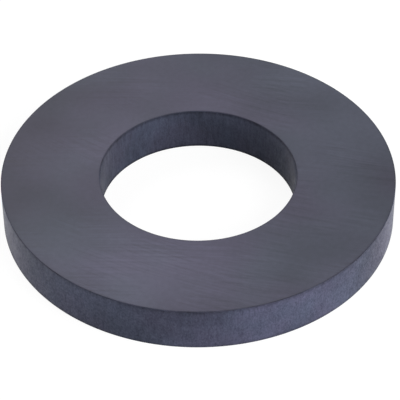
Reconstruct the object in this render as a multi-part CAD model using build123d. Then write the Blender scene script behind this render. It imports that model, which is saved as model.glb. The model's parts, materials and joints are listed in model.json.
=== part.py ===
"""Sintered ferrite ring magnet: one flat ceramic ring with a plain through bore.

The ring is pressed in a die, fired, and then ground on its two pole faces. The outer wall
and the bore keep their pressed and fired surface and are straight. The die leaves a small
45 degree break along each of the four rims, and grinding the pole faces takes it down to
the width given here. The ring is magnetised through its thickness and has no pole mark.

Millimetres, +Z up. The origin is the centre of the bore in the lower pole face, so the ring
lies on the plane Z = 0 and its bore axis is the Z axis.
"""

import os

from build123d import *

# The ring
OUTER_DIAMETER = 100.0
BORE_DIAMETER = 50.0
THICKNESS = 12.0

# The broken rims, measured along either leg of their 45 degree facet
OUTER_RIM_BREAK = 0.15
BORE_RIM_BREAK = 0.15


def ring_section():
    """The ring's section in the XZ plane: a rectangle beside the axis, its corners broken."""
    wall = (OUTER_DIAMETER - BORE_DIAMETER) / 2
    wall_middle = (OUTER_DIAMETER + BORE_DIAMETER) / 4
    section = Plane.XZ * Pos(wall_middle, THICKNESS / 2) * Rectangle(wall, THICKNESS)
    section = chamfer(section.vertices().group_by(Axis.X)[-1], OUTER_RIM_BREAK)
    return chamfer(section.vertices().group_by(Axis.X)[0], BORE_RIM_BREAK)


def magnet_ring():
    """The whole magnet, its section turned about the bore axis."""
    ring = revolve(ring_section(), axis=Axis.Z)
    ring.label = "magnet_ring"
    return ring


os.makedirs("parts", exist_ok=True)
export_step(magnet_ring(), "parts/magnet_ring.step")
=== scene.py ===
"""A sintered ferrite ring magnet lying flat on a pale studio floor.

The ring is one piece with four finishes: ground pole faces, the outer wall and the bore as the
die and the kiln left them, and a narrow broken rim along each edge between a face and a wall.
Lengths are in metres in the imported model's frame, +Z up from the floor.
"""

import json
import math

import bpy
from mathutils import Matrix, Vector


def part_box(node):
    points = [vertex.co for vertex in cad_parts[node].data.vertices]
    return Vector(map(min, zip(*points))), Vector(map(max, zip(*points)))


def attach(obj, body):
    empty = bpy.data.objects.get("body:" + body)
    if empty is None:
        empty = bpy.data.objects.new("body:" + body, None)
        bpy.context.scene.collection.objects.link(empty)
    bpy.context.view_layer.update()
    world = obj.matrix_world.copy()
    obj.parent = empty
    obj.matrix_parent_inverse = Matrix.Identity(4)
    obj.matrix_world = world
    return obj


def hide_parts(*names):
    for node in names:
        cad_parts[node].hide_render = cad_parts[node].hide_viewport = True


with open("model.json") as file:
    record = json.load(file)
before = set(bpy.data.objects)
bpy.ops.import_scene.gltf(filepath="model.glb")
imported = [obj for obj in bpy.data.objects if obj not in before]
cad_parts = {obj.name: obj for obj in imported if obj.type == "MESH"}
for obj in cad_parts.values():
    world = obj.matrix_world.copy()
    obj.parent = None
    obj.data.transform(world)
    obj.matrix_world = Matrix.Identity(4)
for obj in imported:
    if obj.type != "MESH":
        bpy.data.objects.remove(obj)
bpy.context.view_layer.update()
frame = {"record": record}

MM = 0.001

# The ring's own sizes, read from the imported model
RING_LOW, RING_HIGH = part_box("magnet_ring")
BORE = next(mount for mount in frame["record"]["mounts"] if mount["name"] == "bore")
OUTER_RADIUS = RING_HIGH.x
BORE_RADIUS = BORE["dims"]["r_mm"] * MM
THICKNESS = RING_HIGH.z - RING_LOW.z
RIM_BREAK = (THICKNESS - BORE["dims"]["length_mm"] * MM) / 2
FACE_WIDTH = OUTER_RADIUS - BORE_RADIUS
FACE_MIDDLE = (OUTER_RADIUS + BORE_RADIUS) / 2

# How finely the ring is turned, and how the edges of its broken rims are worn
TURN_STEPS = 720
RIM_SOFTENING = 0.03 * MM
SOFTENING_STEPS = 3
MERGE_DISTANCE = 0.001 * MM
SHARPEST_SMOOTH_TURN = math.radians(8)

# The ring's finishes, in the order of its materials
POLE_FACE, OUTER_WALL, BORE_WALL, BROKEN_RIM = range(4)

# Each finish's two tints, the patches in which its tint and its tone drift, and where in the
# noise those patches start, which decides where they fall on the ring. The blend is how far on
# either side of the noise's middle one tint passes into the other
# The pole faces' drift of tone is partly random tone and partly a painted sheen: its start places
# broad lighter and darker patches where the satin faces catch more or less light
POLE_FACE_TINT_AND_SHEEN = {"Slate": (0.060, 0.065, 0.089, 1), "Lilac": (0.065, 0.062, 0.092, 1),
                  "Tint Patch": 38 * MM, "Tint Start": (4.12, -11.18, 18.18),
                  "Tone Patch": 46 * MM, "Tone Start": (-8.38, -4.98, -0.26),
                  "Tone Drift": 0.55}
OUTER_WALL_TINT = {"Slate": (0.058, 0.066, 0.105, 1), "Lilac": (0.063, 0.064, 0.105, 1),
                   "Tint Patch": 16 * MM, "Tint Start": (15.38, 7.57, 21.83),
                   "Tone Patch": 30 * MM, "Tone Start": (-15.38, 12.62, 18.3),
                   "Tone Drift": 0.4}
# The bore's tints are darker than the outer wall's: painted shade inside the bore
BORE_TINT_WITH_PAINTED_SHADE = {"Slate": (0.046, 0.052, 0.080, 1), "Lilac": (0.0495, 0.0515, 0.080, 1),
             "Tint Patch": 12 * MM, "Tint Start": (-19.18, -10.68, 21.7),
             "Tone Patch": 18 * MM, "Tone Start": (-21.68, 13.33, 14.47),
             "Tone Drift": 0.26}
# The broken rims' tints are darker than the walls', partly as their own colour and partly as
# painted edge shade
BROKEN_RIM_TINT_AND_SHADE = {"Slate": (0.031, 0.034, 0.054, 1), "Lilac": (0.034, 0.034, 0.054, 1),
                   "Tint Patch": 8 * MM, "Tint Start": (1.4, 6.6, 0.9),
                   "Tone Patch": 5 * MM, "Tone Start": (2.3, 4.8, 7.1),
                   "Tone Drift": 0.4}
TINT_BLEND = 0.5

# A noise node stays close to one half, and this gain spreads it over about -1 to 1
NOISE_GAIN = 4.0

# The ground faces' grain, the reach of the painted shade along their rims, and their satin
FACE_CLOUD = 1.5 * MM
FACE_GRAIN = 0.2 * MM
FACE_RIM_SHADE_REACH = 0.8 * MM
FACE_ROUGHNESS = 0.52
FACE_RELIEF = 0.001 * MM
FACE_SPECULAR = 0.18

# The grinding wheel's path centres for its two passes over the pole faces, far outside the
# ring, the size of its marks, how much they tone, roughen and raise the face, and the patch
# noise below which they fade out and above which they show in full
FIRST_PASS_CENTRE = (-30 * MM, -420 * MM, 0)
SECOND_PASS_CENTRE = (95 * MM, 195 * MM, 0)
MARK_SIZE = {"Mark Width": 0.75 * MM, "Mark Length": 22 * MM, "Patch Size": 16 * MM}
MARK_TONE = 0.16
MARK_ROUGHNESS = 0.06
MARK_HEIGHT = 1.5
MARKS_FADED = -0.3
MARKS_FULL = 0.5

# The fired walls' streaks, mottle and grain, the reach of the painted shade along their rims, their
# matte skin, and the thin glaze that the kiln leaves on it
WALL_STREAK = 0.9 * MM
WALL_STREAK_STRETCH = 5.0
WALL_MOTTLE = 2.2 * MM
WALL_GRAIN = 0.5 * MM
WALL_GRAIN_STRETCH = 1.3
WALL_RIM_SHADE_REACH = 1.4 * MM
WALL_ROUGHNESS = 0.6
WALL_RELIEF = 0.022 * MM
WALL_SPECULAR = 0.0
GLAZE_ROUGHNESS = 0.25
GLAZE_IOR = 1.3

# The broken rims' crumbs and their dull skin
RIM_CRUMB = 0.25 * MM
RIM_ROUGHNESS = 0.6
RIM_RELIEF = 0.01 * MM
RIM_SPECULAR = 0.12

# The floor: its side, its gap under the ring, how much it lights the ring, and how much of its
# own light and shadow shows on top of its glow
FLOOR_SIDE = 6.0
FLOOR_GAP = 0.02 * MM
FLOOR_LIT = 0.7
FLOOR_SHADE = 0.15
FLOOR_GLOW = 0.9

# The soft light: what the white surround adds, and square lamps that shine at the ring's
# middle, turned from +X and lifted by degrees
SURROUND_FILL = 0.1
LAMP_DISTANCE = 0.9
LAMPS = {
    "back_lamp": {"turn": 120, "lift": 40, "side": 0.5, "power": 3.79},
    "front_lamp": {"turn": 300, "lift": 40, "side": 0.5, "power": 2.79},
    "right_lamp": {"turn": 330, "lift": 40, "side": 0.5, "power": 3.35},
    "low_right_lamp": {"turn": 330, "lift": 13, "side": 0.35, "power": 4.65},
    "low_left_lamp": {"turn": 180, "lift": 13, "side": 0.35, "power": 2.74},
}

# The photograph's camera: it looks along +Y and down at the ring's middle
CAMERA_DISTANCE = 525.89 * MM
CAMERA_ELEVATION = math.radians(41.538)
CAMERA_ROLL = math.radians(-0.443)
CAMERA_LENS_MM = 185.19
SENSOR_WIDTH_MM = 36.0
RING_LEFT_OF_CENTRE = 0.42 * MM
RING_ABOVE_CENTRE = 2.27 * MM


def node_tree(owner):
    """The empty node tree of a new material or world."""
    owner.use_nodes = True
    owner.node_tree.nodes.clear()
    return owner.node_tree


def add_node(tree, kind, inputs=None, **settings):
    """A node with its settings, and its inputs either set to a value or linked to a socket."""
    node = tree.nodes.new(kind)
    for name, value in settings.items():
        setattr(node, name, value)
    for name, value in (inputs or {}).items():
        if isinstance(value, bpy.types.NodeSocket):
            tree.links.new(value, node.inputs[name])
        else:
            node.inputs[name].default_value = value
    return node


def math_node(tree, operation, first, second=0.0, third=0.0):
    """The output of one sum on numbers or sockets."""
    values = {0: first, 1: second, 2: third}
    return add_node(tree, "ShaderNodeMath", values, operation=operation).outputs[0]


def vector_node(tree, operation, first, second):
    """The output of one sum on two places."""
    return add_node(tree, "ShaderNodeVectorMath", {0: first, 1: second},
                    operation=operation).outputs[0]


def axes_of(tree, place):
    """The three axes of a place, as sockets."""
    return add_node(tree, "ShaderNodeSeparateXYZ", {0: place}).outputs


def length_of(tree, x, y):
    """The length of the flat line that two sockets make."""
    line = add_node(tree, "ShaderNodeCombineXYZ", {"X": x, "Y": y}).outputs[0]
    return add_node(tree, "ShaderNodeVectorMath", {0: line}, operation="LENGTH").outputs["Value"]


def grey(level):
    """A colour without a tint."""
    return (level, level, level, 1)


def turned_ring():
    """The ring as a mesh: a section with broken, softened corners, turned about the bore axis."""
    bpy.ops.object.select_all(action="DESELECT")
    bpy.ops.mesh.primitive_plane_add(size=1, location=(FACE_MIDDLE, 0, THICKNESS / 2),
                                     rotation=(math.pi / 2, 0, 0))
    ring = bpy.context.active_object
    ring.name = ring.data.name = "ferrite_ring"
    ring.scale = (FACE_WIDTH, THICKNESS, 1)
    bpy.ops.object.transform_apply(location=True, rotation=True, scale=True)
    bpy.ops.object.mode_set(mode="EDIT")
    bpy.ops.mesh.select_mode(type="VERT")
    bpy.ops.mesh.select_all(action="SELECT")
    bpy.ops.mesh.bevel(offset=RIM_BREAK, segments=1, affect="VERTICES")
    bpy.ops.mesh.select_all(action="SELECT")
    bpy.ops.mesh.bevel(offset=RIM_SOFTENING, segments=SOFTENING_STEPS, affect="VERTICES")
    bpy.ops.mesh.select_all(action="SELECT")
    bpy.ops.mesh.delete(type="ONLY_FACE")
    bpy.ops.mesh.select_all(action="SELECT")
    bpy.ops.mesh.spin(steps=TURN_STEPS, angle=2 * math.pi, center=(0, 0, 0), axis=(0, 0, 1))
    bpy.ops.mesh.select_all(action="SELECT")
    bpy.ops.mesh.remove_doubles(threshold=MERGE_DISTANCE)
    bpy.ops.mesh.normals_make_consistent(inside=False)
    bpy.ops.object.mode_set(mode="OBJECT")
    bpy.ops.object.shade_smooth_by_angle(angle=SHARPEST_SMOOTH_TURN)
    return ring


def finish_of(face):
    """Which of the ring's finishes a face has."""
    lean = abs(face.normal.z)
    if lean > math.cos(SHARPEST_SMOOTH_TURN):
        return POLE_FACE
    if lean > math.sin(SHARPEST_SMOOTH_TURN):
        return BROKEN_RIM
    return OUTER_WALL if face.center.xy.length > FACE_MIDDLE else BORE_WALL


def node_group(name, inputs, outputs):
    """An empty node group with named sockets, and the sockets as its own nodes show them."""
    group = bpy.data.node_groups.new(name, "ShaderNodeTree")
    for label, kind in inputs.items():
        group.interface.new_socket(label, in_out="INPUT", socket_type="NodeSocket" + kind)
    for label, kind in outputs.items():
        group.interface.new_socket(label, in_out="OUTPUT", socket_type="NodeSocket" + kind)
    given = group.nodes.new("NodeGroupInput").outputs
    wanted = group.nodes.new("NodeGroupOutput").inputs
    return group, given, wanted


def placed(tree, group, inputs):
    """The outputs of a node group that is placed in a material with its own values."""
    return add_node(tree, "ShaderNodeGroup", inputs, node_tree=group).outputs


def spread(tree, place, across, up=None, along=None):
    """Place in units of one size, or of three, so that a noise on it has marks of that size."""
    sizes = (across, along or across, up or across)
    shares = [math_node(tree, "DIVIDE", axis, size)
              for axis, size in zip(axes_of(tree, place), sizes)]
    return add_node(tree, "ShaderNodeCombineXYZ", dict(enumerate(shares))).outputs[0]


def noise(tree, place, detail, roughness=0.5):
    """A noise with marks about one unit wide, mostly between -1 and 1."""
    inputs = {"Vector": place, "Scale": 1.0, "Detail": detail, "Roughness": roughness}
    level = add_node(tree, "ShaderNodeTexNoise", inputs).outputs["Fac"]
    return math_node(tree, "MULTIPLY_ADD", level, NOISE_GAIN, -NOISE_GAIN / 2)


def summed(tree, start, *parts):
    """A start value with some values added, each with its strength."""
    total = start
    for value, strength in parts:
        total = math_node(tree, "MULTIPLY_ADD", value, strength, total)
    return total


def toned(tree, colour, *parts):
    """A colour made lighter or darker by the sum of some values, each with its strength."""
    inputs = {"Color": colour, "Value": summed(tree, 1.0, *parts)}
    return add_node(tree, "ShaderNodeHueSaturation", inputs).outputs[0]


def smooth_share(tree, value, low, high):
    """0 below low, 1 above high, and a smooth rise between them."""
    inputs = {"Value": value, "From Min": low, "From Max": high}
    return add_node(tree, "ShaderNodeMapRange", inputs, interpolation_type="SMOOTHSTEP").outputs[0]


def drift(tree, place, patch_size, start):
    """A slow noise whose patches are shifted by a start point, counted in patches."""
    shifted = vector_node(tree, "ADD", spread(tree, place, patch_size), start)
    return noise(tree, shifted, detail=2.0)


def kiln_tint_group():
    """Slow drift between the two tints that the kiln leaves, with a slow drift of the tone."""
    group, given, wanted = node_group(
        "Kiln Tint",
        {"Place": "Vector", "Slate": "Color", "Lilac": "Color",
         "Tint Patch": "Float", "Tint Start": "Vector",
         "Tone Patch": "Float", "Tone Start": "Vector", "Tone Drift": "Float"},
        {"Color": "Color"})
    tint_drift = drift(group, given["Place"], given["Tint Patch"], given["Tint Start"])
    share = smooth_share(group, tint_drift, -TINT_BLEND, TINT_BLEND)
    tints = {"Factor": share, "A": given["Slate"], "B": given["Lilac"]}
    tint = add_node(group, "ShaderNodeMix", tints, data_type="RGBA").outputs["Result"]
    tone = drift(group, given["Place"], given["Tone Patch"], given["Tone Start"])
    group.links.new(toned(group, tint, (tone, given["Tone Drift"])), wanted["Color"])
    return group


def fired_grain_group():
    """Grain of the fired ceramic, which a stretch above 1 draws out along the bore axis."""
    group, given, wanted = node_group(
        "Fired Grain",
        {"Place": "Vector", "Grain Size": "Float", "Stretch": "Float"},
        {"Grain": "Float"})
    up = math_node(group, "MULTIPLY", given["Grain Size"], given["Stretch"])
    place = spread(group, given["Place"], given["Grain Size"], up)
    group.links.new(noise(group, place, detail=2.0, roughness=0.6), wanted["Grain"])
    return group


def grinding_marks_group():
    """Marks of one pass of the grinding wheel: long arcs about a far centre, in uneven patches."""
    group, given, wanted = node_group(
        "Grinding Marks",
        {"Place": "Vector", "Pass Centre": "Vector",
         "Mark Width": "Float", "Mark Length": "Float", "Patch Size": "Float"},
        {"Marks": "Float"})
    reach = vector_node(group, "SUBTRACT", given["Place"], given["Pass Centre"])
    axes = axes_of(group, reach)
    radius = length_of(group, axes["X"], axes["Y"])
    turn = math_node(group, "ARCTAN2", axes["X"], axes["Y"])
    arc = math_node(group, "MULTIPLY", turn, radius)
    swept = add_node(group, "ShaderNodeCombineXYZ", {"X": radius, "Y": arc, "Z": axes["Z"]})
    place = spread(group, swept.outputs[0], given["Mark Width"],
                   up=given["Patch Size"], along=given["Mark Length"])
    marks = noise(group, place, detail=2.0, roughness=0.6)
    patches = noise(group, spread(group, reach, given["Patch Size"]), detail=1.0)
    showing = smooth_share(group, patches, MARKS_FADED, MARKS_FULL)
    group.links.new(math_node(group, "MULTIPLY", marks, showing), wanted["Marks"])
    return group


def painted_rim_shade_group():
    """The share of painted shade: 1 on the rims between the faces and the walls, falling to 0 at a
    given reach from them.
    """
    group, given, wanted = node_group(
        "Painted Rim Shade",
        {"Place": "Vector", "Reach": "Float"},
        {"Share": "Float"})
    axes = axes_of(group, given["Place"])
    radius = length_of(group, axes["X"], axes["Y"])
    from_middle = math_node(group, "ABSOLUTE", math_node(group, "SUBTRACT", radius, FACE_MIDDLE))
    from_half = math_node(group, "ABSOLUTE", math_node(group, "SUBTRACT", axes["Z"], THICKNESS / 2))
    in_from_wall = math_node(group, "SUBTRACT", FACE_WIDTH / 2, from_middle)
    in_from_face = math_node(group, "SUBTRACT", THICKNESS / 2, from_half)
    away = length_of(group, in_from_wall, in_from_face)
    near = math_node(group, "SUBTRACT", 1.0, math_node(group, "DIVIDE", away, given["Reach"]))
    group.links.new(smooth_share(group, near, 0.0, 1.0), wanted["Share"])
    return group


def new_finish(name):
    """A new material, its empty node tree, and the place on the ring that its patterns follow."""
    material = bpy.data.materials.new(name)
    tree = node_tree(material)
    return material, tree, add_node(tree, "ShaderNodeTexCoord").outputs["Object"]


def grain_of(tree, effects, place, size, stretch=1.0):
    """The fired grain at one size."""
    inputs = {"Place": place, "Grain Size": size, "Stretch": stretch}
    return placed(tree, effects["grain"], inputs)["Grain"]


def ceramic(tree, colour, roughness, height, depth, specular, glaze=0.0):
    """The ceramic's own shader with its colour, roughness, relief and any glaze from the kiln."""
    relief = add_node(tree, "ShaderNodeBump", {"Height": height, "Distance": depth}).outputs[0]
    shader = add_node(tree, "ShaderNodeBsdfPrincipled",
                      {"Base Color": colour, "Roughness": roughness, "Normal": relief,
                       "Specular IOR Level": specular, "Coat Weight": glaze,
                       "Coat Roughness": GLAZE_ROUGHNESS, "Coat IOR": GLAZE_IOR})
    add_node(tree, "ShaderNodeOutputMaterial", {"Surface": shader.outputs["BSDF"]})


def ground_pole_face(effects):
    """The ground faces: satin, with arcs of two passes of the wheel, a slow drift of tint, a drift
    of tone that is partly a painted sheen, and painted shade along their rims.
    """
    material, tree, place = new_finish("ground_pole_face")
    tint = placed(tree, effects["tint"], POLE_FACE_TINT_AND_SHEEN | {"Place": place})["Color"]
    marks = MARK_SIZE | {"Place": place}
    first = placed(tree, effects["marks"], marks | {"Pass Centre": FIRST_PASS_CENTRE})["Marks"]
    second = placed(tree, effects["marks"], marks | {"Pass Centre": SECOND_PASS_CENTRE})["Marks"]
    cloud = grain_of(tree, effects, place, FACE_CLOUD)
    grain = grain_of(tree, effects, place, FACE_GRAIN)
    rim = placed(tree, effects["rim"], {"Place": place, "Reach": FACE_RIM_SHADE_REACH})["Share"]
    # The rim part darkens the face towards its edges: painted edge shade
    colour = toned(tree, tint, (first, MARK_TONE), (second, MARK_TONE),
                   (cloud, 0.07), (grain, 0.1), (rim, -0.16))
    roughness = summed(tree, FACE_ROUGHNESS, (first, MARK_ROUGHNESS), (second, MARK_ROUGHNESS),
                       (grain, 0.05))
    height = summed(tree, grain, (first, MARK_HEIGHT), (second, MARK_HEIGHT))
    ceramic(tree, colour, roughness, height, depth=FACE_RELIEF, specular=FACE_SPECULAR)
    return material


def fired_wall(effects, name, wall_tint, glaze, streaked, grained, painted_shade_at_rim):
    """A wall as die and kiln left it: matte, mottled, grainy, streaked the way the die let go, with
    painted shade along its rims.
    """
    material, tree, place = new_finish(name)
    tint = placed(tree, effects["tint"], wall_tint | {"Place": place})["Color"]
    streaks = grain_of(tree, effects, place, WALL_STREAK, WALL_STREAK_STRETCH)
    mottle = grain_of(tree, effects, place, WALL_MOTTLE)
    grain = grain_of(tree, effects, place, WALL_GRAIN, WALL_GRAIN_STRETCH)
    rim = placed(tree, effects["rim"], {"Place": place, "Reach": WALL_RIM_SHADE_REACH})["Share"]
    # The rim part darkens the wall towards its top and bottom rims: painted edge shade, and painted
    # contact shade at its foot
    colour = toned(tree, tint, (streaks, streaked), (mottle, 0.08), (grain, grained), (rim, painted_shade_at_rim))
    roughness = summed(tree, WALL_ROUGHNESS, (streaks, 0.06), (grain, 0.1))
    height = summed(tree, grain, (streaks, 0.6), (mottle, 0.5))
    uneven_glaze = summed(tree, glaze, (grain, 0.5 * glaze), (mottle, 0.2 * glaze))
    ceramic(tree, colour, roughness, height, depth=WALL_RELIEF, specular=WALL_SPECULAR,
            glaze=uneven_glaze)
    return material


def broken_rim(effects):
    """The facets along the rims: the ring's darkest skin, partly painted edge shade, dull and a
    little crumbled.
    """
    material, tree, place = new_finish("broken_rim")
    tint = placed(tree, effects["tint"], BROKEN_RIM_TINT_AND_SHADE | {"Place": place})["Color"]
    crumbs = grain_of(tree, effects, place, RIM_CRUMB)
    colour = toned(tree, tint, (crumbs, 0.25))
    roughness = summed(tree, RIM_ROUGHNESS, (crumbs, 0.1))
    ceramic(tree, colour, roughness, crumbs, depth=RIM_RELIEF, specular=RIM_SPECULAR)
    return material


def seen_directly(tree):
    """1 where a camera, glossy or transmission ray meets a surface, and 0 for its plain light."""
    path = add_node(tree, "ShaderNodeLightPath").outputs
    seen = math_node(tree, "MAXIMUM", path["Is Camera Ray"], path["Is Glossy Ray"])
    return math_node(tree, "MAXIMUM", seen, path["Is Transmission Ray"])


def white_surround():
    """A world that the camera and reflections see as plain white, and that adds a little light."""
    world = bpy.data.worlds.new("white_surround")
    bpy.context.scene.world = world
    tree = node_tree(world)
    strength = add_node(tree, "ShaderNodeMapRange",
                        {"Value": seen_directly(tree), "To Min": SURROUND_FILL, "To Max": 1.0})
    light = add_node(tree, "ShaderNodeBackground",
                     {"Color": grey(1), "Strength": strength.outputs[0]})
    add_node(tree, "ShaderNodeOutputWorld", {"Surface": light.outputs[0]})


def pale_floor():
    """A wide pale floor that shows white, apart from the ring's soft shadow on it."""
    bpy.ops.object.select_all(action="DESELECT")
    bpy.ops.mesh.primitive_plane_add(size=FLOOR_SIDE, location=(0, 0, -FLOOR_GAP))
    floor = bpy.context.active_object
    floor.name = floor.data.name = "studio_floor"
    material = bpy.data.materials.new("pale_floor")
    tree = node_tree(material)
    lit = add_node(tree, "ShaderNodeBsdfDiffuse", {"Color": grey(FLOOR_LIT)})
    shade = add_node(tree, "ShaderNodeBsdfDiffuse", {"Color": grey(FLOOR_SHADE)})
    glow = add_node(tree, "ShaderNodeEmission", {"Color": grey(1), "Strength": FLOOR_GLOW})
    shown = add_node(tree, "ShaderNodeAddShader", {0: shade.outputs[0], 1: glow.outputs[0]})
    both = add_node(tree, "ShaderNodeMixShader",
                    {0: seen_directly(tree), 1: lit.outputs[0], 2: shown.outputs[0]})
    add_node(tree, "ShaderNodeOutputMaterial", {"Surface": both.outputs[0]})
    floor.data.materials.append(material)


def soft_lamp(name, turn, lift, side, power):
    """A square area lamp that shines at the ring's middle, turned from +X and lifted by degrees."""
    data = bpy.data.lights.new(name, "AREA")
    data.size = side
    data.energy = power
    lamp = bpy.data.objects.new(name, data)
    bpy.context.scene.collection.objects.link(lamp)
    turn, lift = math.radians(turn), math.radians(lift)
    towards = Vector((math.cos(lift) * math.cos(turn), math.cos(lift) * math.sin(turn),
                      math.sin(lift)))
    lamp.location = towards * LAMP_DISTANCE
    lamp.rotation_euler = (-towards).to_track_quat("-Z", "Y").to_euler()


def photo_camera():
    """The photograph's camera, framed as the photograph is."""
    right = Vector((1, 0, 0))
    towards = Vector((0, -math.cos(CAMERA_ELEVATION), math.sin(CAMERA_ELEVATION)))
    up = towards.cross(right)
    roll = Matrix.Rotation(CAMERA_ROLL, 3, towards)
    right, up = roll @ right, roll @ up
    data = bpy.data.cameras.new("photo_camera")
    data.lens = CAMERA_LENS_MM
    data.sensor_width = SENSOR_WIDTH_MM
    camera = bpy.data.objects.new("photo_camera", data)
    bpy.context.scene.collection.objects.link(camera)
    middle = Vector((0, 0, THICKNESS / 2))
    place = (middle + towards * CAMERA_DISTANCE
             + right * RING_LEFT_OF_CENTRE - up * RING_ABOVE_CENTRE)
    turned = Matrix((right, up, towards)).transposed().to_4x4()
    camera.matrix_world = Matrix.Translation(place) @ turned
    bpy.context.scene.camera = camera


white_surround()
pale_floor()
photo_camera()
for name, lamp in LAMPS.items():
    soft_lamp(name, **lamp)

ring = turned_ring()
effects = {"tint": kiln_tint_group(), "grain": fired_grain_group(),
           "marks": grinding_marks_group(), "rim": painted_rim_shade_group()}
ring.data.materials.append(ground_pole_face(effects))
# The last number of each wall is the strength of the painted shade along its rims
ring.data.materials.append(fired_wall(
    effects, "fired_outer_wall", OUTER_WALL_TINT,
    glaze=0.45, streaked=0.1, grained=0.23, painted_shade_at_rim=-0.3))
# The bore's darker tints are painted shade of its recess
ring.data.materials.append(fired_wall(
    effects, "fired_bore", BORE_TINT_WITH_PAINTED_SHADE,
    glaze=0.25, streaked=0.16, grained=0.14, painted_shade_at_rim=-0.5))
ring.data.materials.append(broken_rim(effects))
for face in ring.data.polygons:
    face.material_index = finish_of(face)
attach(ring, "root")
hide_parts("magnet_ring")

bpy.context.scene.view_settings.view_transform = "Standard"
